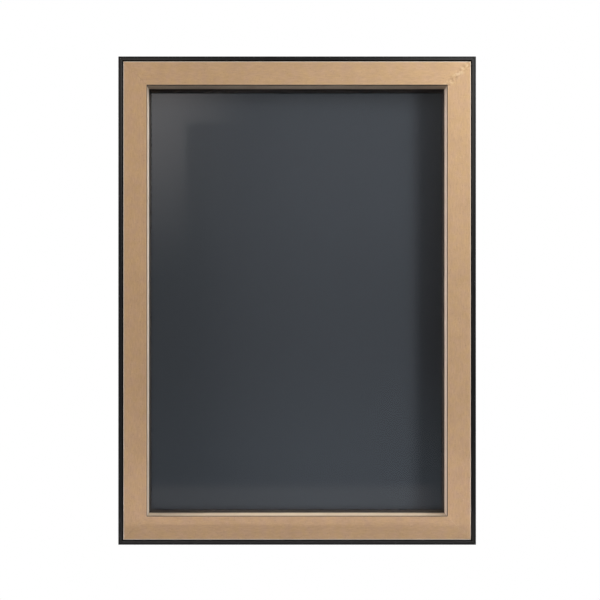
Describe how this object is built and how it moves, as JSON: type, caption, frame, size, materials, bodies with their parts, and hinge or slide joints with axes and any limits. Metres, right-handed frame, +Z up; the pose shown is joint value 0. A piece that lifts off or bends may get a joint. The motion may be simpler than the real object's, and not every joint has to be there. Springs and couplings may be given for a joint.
{
  "type": "floating display frame",
  "caption": "Tall museum display frame: black tray, wide fibreboard face standing clear of it, deep recess, glazing over a charcoal board, turn buttons and ring hangers behind.",
  "frame": {"origin": "middle of the bottom edge, at half the overall depth", "axes": "+Z up the frame's height, +X to the right seen from the display side, +Y towards the wall; the display side faces -Y"},
  "size_m": [0.821, 0.0604, 1.121],
  "materials": {
    "tray_black": "fibreboard sprayed in satin black lacquer, slightly worn along the rim",
    "face_board": "raw medium density fibreboard, sanded face, kraft brown",
    "body_board": "raw medium density fibreboard, machined edge, paler and open",
    "glazing": "clear float glass",
    "spacer_black": "black extruded spacer",
    "mount_board": "charcoal mount board",
    "back_board": "thin hardboard, smooth side out",
    "zinc_steel": "zinc-plated pressed steel",
    "screw_steel": "zinc-plated steel",
    "bumper_rubber": "moulded black rubber"
  },
  "bodies": {
    "frame": {"tray_rail_bottom": "tray_black", "face_board_bottom": "face_board", "body_rail_bottom": "body_board", "spacer_bottom": "spacer_black", "tray_rail_left": "tray_black", "face_board_left": "face_board", "body_rail_left": "body_board", "spacer_left": "spacer_black", "tray_rail_top": "tray_black", "face_board_top": "face_board", "body_rail_top": "body_board", "spacer_top": "spacer_black", "tray_rail_right": "tray_black", "face_board_right": "face_board", "body_rail_right": "body_board", "spacer_right": "spacer_black", "glazing_pane": "glazing", "mount_board": "mount_board", "back_board": "back_board", "turn_button_screw_1": "screw_steel", "turn_button_screw_2": "screw_steel", "turn_button_screw_3": "screw_steel", "turn_button_screw_4": "screw_steel", "turn_button_screw_5": "screw_steel", "turn_button_screw_6": "screw_steel", "turn_button_screw_7": "screw_steel", "turn_button_screw_8": "screw_steel", "tray_screw_1": "screw_steel", "tray_screw_2": "screw_steel", "tray_screw_3": "screw_steel", "tray_screw_4": "screw_steel", "tray_screw_5": "screw_steel", "tray_screw_6": "screw_steel", "tray_screw_7": "screw_steel", "tray_screw_8": "screw_steel", "hanger_strap_left": "zinc_steel", "hanger_screw_left_1": "screw_steel", "hanger_screw_left_2": "screw_steel", "hanger_strap_right": "zinc_steel", "hanger_screw_right_1": "screw_steel", "hanger_screw_right_2": "screw_steel", "corner_brace_bottom_left": "zinc_steel", "bumper_bottom_left": "bumper_rubber", "corner_brace_bottom_right": "zinc_steel", "bumper_bottom_right": "bumper_rubber", "corner_brace_top_left": "zinc_steel", "bumper_top_left": "bumper_rubber", "corner_brace_top_right": "zinc_steel", "bumper_top_right": "bumper_rubber"},
    "turn_button_1": {"turn_button_1": "zinc_steel"},
    "turn_button_2": {"turn_button_2": "zinc_steel"},
    "turn_button_3": {"turn_button_3": "zinc_steel"},
    "turn_button_4": {"turn_button_4": "zinc_steel"},
    "turn_button_5": {"turn_button_5": "zinc_steel"},
    "turn_button_6": {"turn_button_6": "zinc_steel"},
    "turn_button_7": {"turn_button_7": "zinc_steel"},
    "turn_button_8": {"turn_button_8": "zinc_steel"},
    "d_ring_left": {"d_ring_left": "zinc_steel"},
    "d_ring_right": {"d_ring_right": "zinc_steel"}
  },
  "joints": [
    {"name": "turn_button_1_swing", "type": "hinge", "parent": "frame", "child": "turn_button_1", "pos_m": [0, 0.02205, 0.05], "axis": [0, 1, 0], "range_deg": [-120, 120]},
    {"name": "turn_button_2_swing", "type": "hinge", "parent": "frame", "child": "turn_button_2", "pos_m": [-0.3605, 0.02205, 0.921], "axis": [0, 1, 0], "range_deg": [-120, 120]},
    {"name": "turn_button_3_swing", "type": "hinge", "parent": "frame", "child": "turn_button_3", "pos_m": [-0.3605, 0.02205, 0.5605], "axis": [0, 1, 0], "range_deg": [-120, 120]},
    {"name": "turn_button_4_swing", "type": "hinge", "parent": "frame", "child": "turn_button_4", "pos_m": [-0.3605, 0.02205, 0.2], "axis": [0, 1, 0], "range_deg": [-120, 120]},
    {"name": "turn_button_5_swing", "type": "hinge", "parent": "frame", "child": "turn_button_5", "pos_m": [0, 0.02205, 1.071], "axis": [0, 1, 0], "range_deg": [-120, 120]},
    {"name": "turn_button_6_swing", "type": "hinge", "parent": "frame", "child": "turn_button_6", "pos_m": [0.3605, 0.02205, 0.2], "axis": [0, 1, 0], "range_deg": [-120, 120]},
    {"name": "turn_button_7_swing", "type": "hinge", "parent": "frame", "child": "turn_button_7", "pos_m": [0.3605, 0.02205, 0.5605], "axis": [0, 1, 0], "range_deg": [-120, 120]},
    {"name": "turn_button_8_swing", "type": "hinge", "parent": "frame", "child": "turn_button_8", "pos_m": [0.3605, 0.02205, 0.921], "axis": [0, 1, 0], "range_deg": [-120, 120]},
    {"name": "d_ring_left_swing", "type": "hinge", "parent": "frame", "child": "d_ring_left", "pos_m": [-0.36575, 0.02465, 0.821], "axis": [1, 0, 0], "range_deg": [0, 180]},
    {"name": "d_ring_right_swing", "type": "hinge", "parent": "frame", "child": "d_ring_right", "pos_m": [0.36575, 0.02465, 0.821], "axis": [1, 0, 0], "range_deg": [0, 180]}
  ]
}
